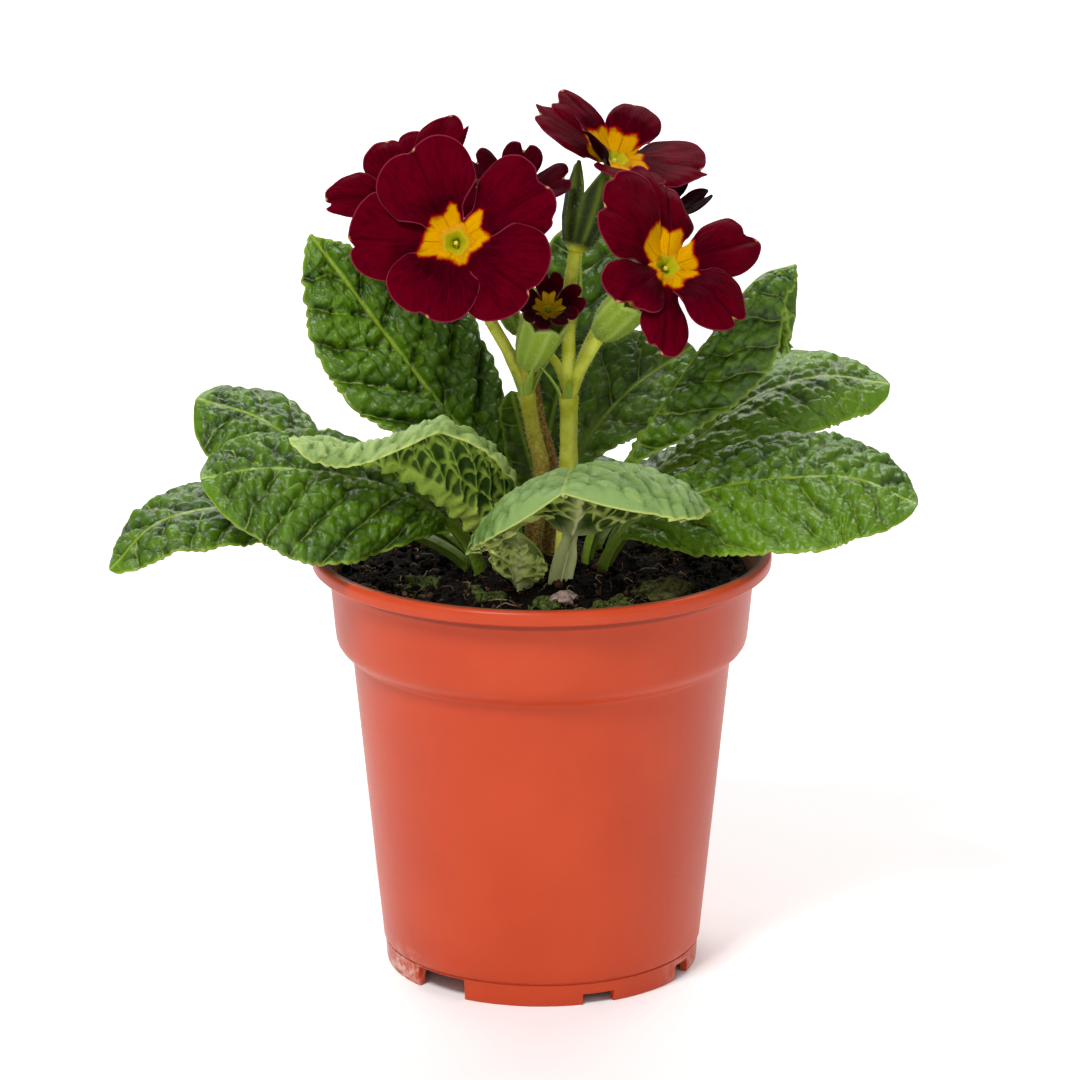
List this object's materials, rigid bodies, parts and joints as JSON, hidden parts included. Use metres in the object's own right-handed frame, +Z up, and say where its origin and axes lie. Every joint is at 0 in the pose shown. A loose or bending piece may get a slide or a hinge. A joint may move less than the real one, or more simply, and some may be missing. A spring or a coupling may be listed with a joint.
{
  "type": "potted auricula primrose",
  "caption": "Flowering primrose in a tapered plastic nursery pot: deeply wrinkled spreading leaves and stalked heads of dark red petals with golden stars.",
  "frame": {"origin": "middle of the surface that the pot stands on, at the centre of its base", "axes": "+Z up, and -Y towards the viewer of the picture"},
  "size_m": [0.1818, 0.1285, 0.2028],
  "materials": {
    "pot_plastic": "satin terracotta-orange moulded plastic",
    "peat": "dark crumbly peat",
    "leaf": "semi-gloss wrinkled green leaf with paler veins",
    "young_leaf": "soft grey-green young leaf",
    "stem": "olive stem with fine pale hairs",
    "petal": "velvety crimson petal with a pale margin",
    "dark_petal": "velvety near-black maroon petal",
    "star": "matt golden yellow",
    "pebble": "rough pinkish stone",
    "moss": "mossy clod of peat"
  },
  "bodies": {
    "root": {"pot": "pot_plastic", "soil": "peat", "leaf_back_left_tall": "leaf", "leaf_left_rear": "leaf", "leaf_left_front": "leaf", "leaf_left_low": "leaf", "leaf_young_curled": "young_leaf", "leaf_front_arched": "young_leaf", "leaf_right_front": "leaf", "leaf_right_rear": "leaf", "leaf_right_rolled": "leaf", "leaf_back_right": "leaf", "leaf_back_tall": "leaf", "leaf_small_upright": "leaf", "leaf_small_crumpled": "young_leaf", "leaf_rear_left": "leaf", "leaf_rear_middle": "leaf", "leaf_rear_right": "leaf", "flower_stalk_left": "stem", "flower_stalk_right": "stem", "flower_stalk_rear": "stem", "bloom_front_left_petals": "petal", "bloom_front_left_eye": "star", "bloom_rear_left_petals": "petal", "bloom_rear_left_eye": "star", "bloom_top_right_petals": "petal", "bloom_top_right_eye": "star", "bloom_right_petals": "petal", "bloom_right_eye": "star", "bloom_dark_left_petals": "dark_petal", "bloom_dark_left_eye": "star", "bloom_dark_front_petals": "dark_petal", "bloom_dark_front_eye": "star", "bloom_dark_right_petals": "dark_petal", "bloom_dark_right_eye": "star", "stone": "pebble", "mossy_clod": "moss"}
  },
  "joints": []
}
